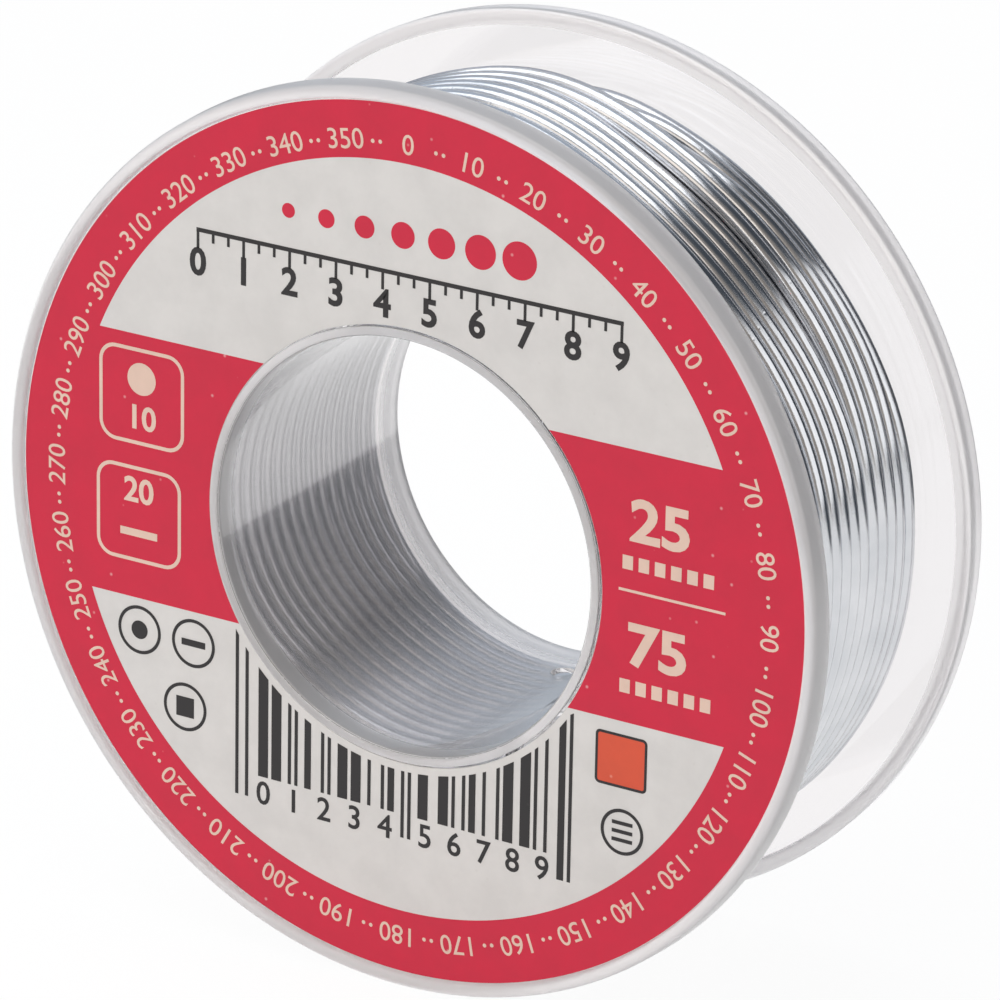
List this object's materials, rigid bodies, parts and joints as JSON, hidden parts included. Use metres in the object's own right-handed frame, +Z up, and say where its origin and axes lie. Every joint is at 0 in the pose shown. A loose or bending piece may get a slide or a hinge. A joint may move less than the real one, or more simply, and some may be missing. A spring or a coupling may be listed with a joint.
{
  "type": "solder wire spool",
  "caption": "Clear round spool wound with flux-cored solder wire, with a ring label on its front flange and a wide bore through the hub.",
  "frame": {"origin": "on the bore's axis, halfway between the two flanges' outer faces", "axes": "+Y along the bore's axis from the labelled front to the back, +Z up as the spool stands on its rims"},
  "size_m": [0.0522, 0.0186, 0.0522],
  "materials": {
    "clear_plastic": "gloss",
    "label_paper": "satin",
    "solder": "satin",
    "rosin": "gloss"
  },
  "bodies": {
    "root": {"hub_tube": "clear_plastic", "front_flange": "clear_plastic", "back_flange": "clear_plastic", "front_label": "label_paper", "inner_winding": "solder", "outer_turns": "solder", "rosin_core": "rosin", "wire_start": "solder"}
  },
  "joints": []
}
